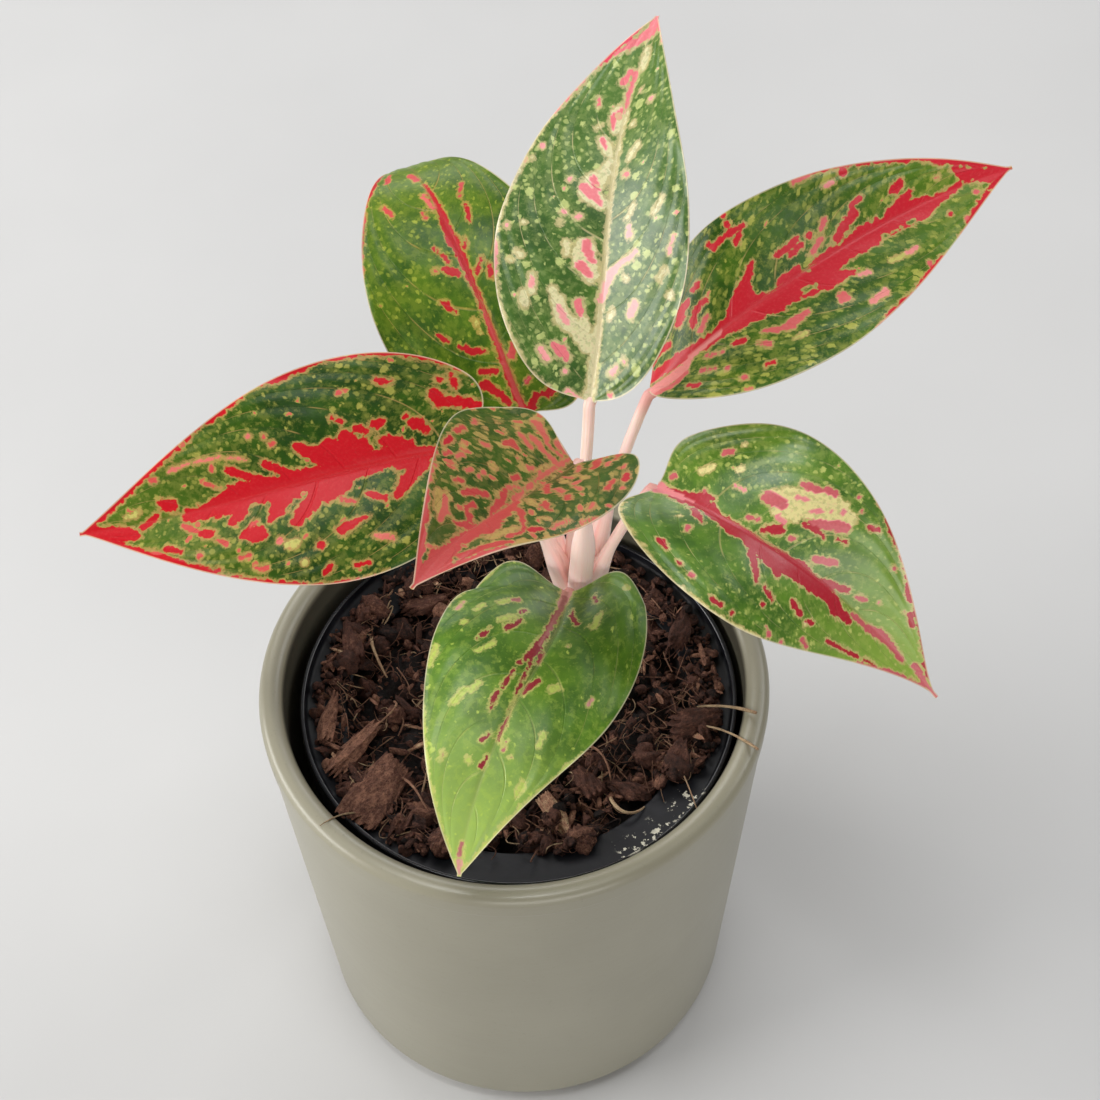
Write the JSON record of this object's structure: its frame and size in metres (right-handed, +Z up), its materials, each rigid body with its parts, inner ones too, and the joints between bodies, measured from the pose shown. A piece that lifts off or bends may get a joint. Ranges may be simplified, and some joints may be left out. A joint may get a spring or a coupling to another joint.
{
  "type": "potted house plant",
  "caption": "Potted Chinese evergreen: broad pointed leaves patterned in red and pink on pale stalks, in a nursery pot that stands in an olive glazed outer pot.",
  "frame": {"origin": "on the flat underside of the outer pot, on the pot's axis", "axes": "+Z up along the pot's axis, +X to the right and -Y towards the viewer of the picture"},
  "size_m": [0.2252, 0.1722, 0.2873],
  "materials": {
    "olive_glaze": "satin",
    "black_plastic": "satin",
    "coir_soil": "matte",
    "green_cane": "satin",
    "pink_stalk": "satin",
    "leaf_centre": "satin",
    "leaf_lower_right": "satin",
    "leaf_left": "satin",
    "leaf_top": "satin",
    "leaf_upper_right": "satin",
    "leaf_back_left": "satin",
    "leaf_front": "satin"
  },
  "bodies": {
    "root": {"cachepot": "olive_glaze", "nursery_pot": "black_plastic", "soil": "coir_soil", "stem": "green_cane", "petiole_centre": "pink_stalk", "blade_centre": "leaf_centre", "petiole_lower_right": "pink_stalk", "blade_lower_right": "leaf_lower_right", "petiole_left": "pink_stalk", "blade_left": "leaf_left", "petiole_top": "pink_stalk", "blade_top": "leaf_top", "petiole_upper_right": "pink_stalk", "blade_upper_right": "leaf_upper_right", "petiole_back_left": "pink_stalk", "blade_back_left": "leaf_back_left", "petiole_front": "pink_stalk", "blade_front": "leaf_front"}
  },
  "joints": []
}
